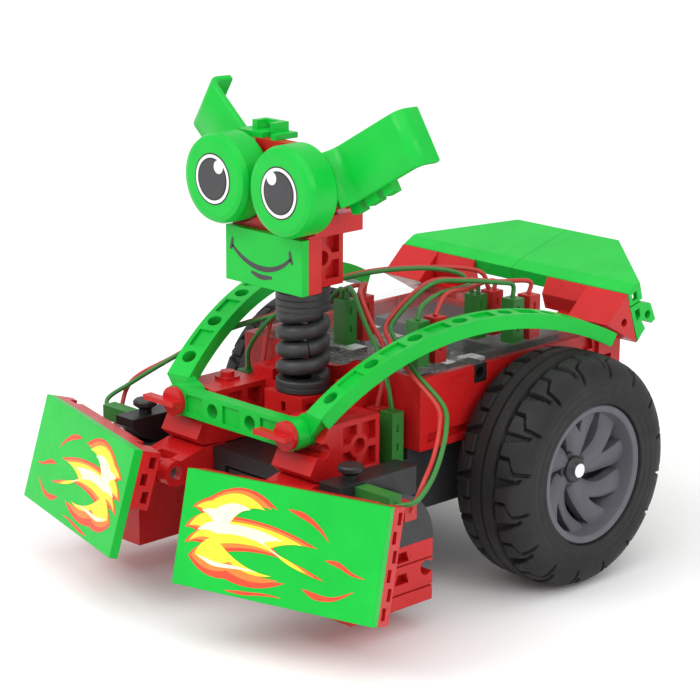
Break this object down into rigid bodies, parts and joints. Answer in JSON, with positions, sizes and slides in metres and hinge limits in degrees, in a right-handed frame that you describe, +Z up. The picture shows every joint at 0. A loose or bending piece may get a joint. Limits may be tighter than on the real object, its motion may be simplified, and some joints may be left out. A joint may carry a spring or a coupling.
{
  "type": "kit robot rover",
  "caption": "Two-wheeled kit robot with a spring-necked face, hinged bumper plates with touch switches, arched struts, a clear-topped controller box and a rear spoiler",
  "frame": {"origin": "on the floor under the middle of the bounding box", "axes": "+X towards the rover's left, +Y towards its rear, +Z up; the face and bumpers point along -Y"},
  "size_m": [0.1416, 0.1687, 0.1369],
  "materials": {
    "red_plastic": "smooth injection-moulded ABS with crisp edges",
    "green_plastic": "smooth bright green ABS, slightly satin",
    "dark_green_plastic": "smooth dark green ABS plug",
    "red_plug_plastic": "smooth red ABS plug",
    "black_plastic": "satin black ABS",
    "grey_plastic": "fine-grained dark grey plastic",
    "clear_plastic": "clear polystyrene cover",
    "board": "solder-masked circuit board",
    "battery_case": "plain battery sleeve",
    "tyre_rubber": "soft moulded rubber with tread blocks",
    "steel": "bright drawn steel rod",
    "gear_plastic": "natural acetal",
    "switch_black": "black housing with plated sockets",
    "red_lead_pvc": "thin stranded wire in red PVC",
    "green_lead_pvc": "thin stranded wire in dark green PVC"
  },
  "bodies": {
    "chassis": {"controller_housing": "red_plastic", "controller_cover": "clear_plastic", "circuit_board": "board", "battery": "battery_case", "power_jack": "black_plastic", "left_motor": "black_plastic", "right_motor": "black_plastic", "front_strut": "green_plastic", "left_arch": "green_plastic", "right_arch": "green_plastic", "neck_block": "red_plastic", "front_blocks": "red_plastic", "strut_wedges": "red_plastic", "hinge_arms": "red_plastic", "hinge_pins": "steel", "track_sensor": "black_plastic", "caster_housing": "black_plastic", "pod_bases": "red_plastic", "pod_domes": "black_plastic", "left_spoiler": "green_plastic", "right_spoiler": "green_plastic", "spoiler_brackets": "red_plastic", "spoiler_ends": "green_plastic", "green_plugs": "dark_green_plastic", "red_plugs": "red_plug_plastic", "left_switch": "switch_black", "right_switch": "switch_black", "green_leads": "green_lead_pvc", "red_leads": "red_lead_pvc"},
    "left_wheel": {"left_tyre": "tyre_rubber", "left_rim": "grey_plastic", "left_axle": "steel", "left_gear": "gear_plastic"},
    "right_wheel": {"right_tyre": "tyre_rubber", "right_rim": "grey_plastic", "right_axle": "steel", "right_gear": "gear_plastic"},
    "caster": {"caster_wheel": "grey_plastic"},
    "left_bumper": {"left_bumper_plate": "green_plastic", "left_bumper_frame": "red_plastic"},
    "right_bumper": {"right_bumper_plate": "green_plastic", "right_bumper_frame": "red_plastic"},
    "left_push_button": {"left_button": "black_plastic"},
    "right_push_button": {"right_button": "black_plastic"},
    "neck": {"neck_spring": "black_plastic"},
    "head": {"head_block": "red_plastic", "mouth_plate": "green_plastic", "mouth_backing": "red_plastic", "head_beam": "red_plastic", "eye_carrier": "red_plastic", "eye_pins": "red_plastic", "left_ear": "green_plastic", "right_ear": "green_plastic", "ear_clips": "green_plastic"},
    "left_eye_wheel": {"left_eye": "green_plastic"},
    "right_eye_wheel": {"right_eye": "green_plastic"},
    "left_lock_rivet": {"left_rivet": "red_plastic"},
    "right_lock_rivet": {"right_rivet": "red_plastic"}
  },
  "joints": [
    {"name": "left_wheel_spin", "type": "hinge", "parent": "chassis", "child": "left_wheel", "pos_m": [0.0485, 0.0264, 0.0327], "axis": [1, 0, 0], "continuous": true},
    {"name": "right_wheel_spin", "type": "hinge", "parent": "chassis", "child": "right_wheel", "pos_m": [-0.0485, 0.0264, 0.0327], "axis": [1, 0, 0], "continuous": true},
    {"name": "caster_spin", "type": "hinge", "parent": "chassis", "child": "caster", "pos_m": [0, -0.0403, 0.008], "axis": [1, 0, 0], "continuous": true},
    {"name": "left_bumper_swing", "type": "hinge", "parent": "chassis", "child": "left_bumper", "pos_m": [0.0225, -0.0589, 0.0341], "axis": [1, 0, 0], "range_deg": [0, 10], "stiffness_Nm_per_rad": 0.02, "springref_deg": -8.59},
    {"name": "left_button_press", "type": "slide", "parent": "chassis", "child": "left_push_button", "axis": [0, 0, -1], "range_m": [0, 0.001], "stiffness_N_per_m": 300, "springref_m": -0.002},
    {"name": "right_bumper_swing", "type": "hinge", "parent": "chassis", "child": "right_bumper", "pos_m": [-0.0225, -0.0589, 0.0341], "axis": [1, 0, 0], "range_deg": [0, 10], "stiffness_Nm_per_rad": 0.02, "springref_deg": -8.59},
    {"name": "right_button_press", "type": "slide", "parent": "chassis", "child": "right_push_button", "axis": [0, 0, -1], "range_m": [0, 0.001], "stiffness_N_per_m": 300, "springref_m": -0.002},
    {"name": "neck_nod", "type": "hinge", "parent": "chassis", "child": "neck", "pos_m": [0, -0.0259, 0.064], "axis": [1, 0, 0], "range_deg": [-15, 15], "stiffness_Nm_per_rad": 0.3, "deforming": ["neck_spring"]},
    {"name": "neck_sway", "type": "hinge", "parent": "neck", "child": "head", "pos_m": [0, -0.0259, 0.071], "axis": [0, 1, 0], "range_deg": [-15, 15], "stiffness_Nm_per_rad": 0.3},
    {"name": "left_eye_turn", "type": "hinge", "parent": "head", "child": "left_eye_wheel", "pos_m": [0.013, -0.0413, 0.114], "axis": [0, 1, 0], "continuous": true},
    {"name": "right_eye_turn", "type": "hinge", "parent": "head", "child": "right_eye_wheel", "pos_m": [-0.013, -0.0413, 0.114], "axis": [0, 1, 0], "continuous": true},
    {"name": "left_rivet_turn", "type": "hinge", "parent": "chassis", "child": "left_lock_rivet", "pos_m": [0.0225, -0.0503, 0.052], "axis": [0, 1, 0], "range_deg": [0, 90]},
    {"name": "right_rivet_turn", "type": "hinge", "parent": "chassis", "child": "right_lock_rivet", "pos_m": [-0.0225, -0.0503, 0.052], "axis": [0, 1, 0], "range_deg": [0, 90]}
  ]
}
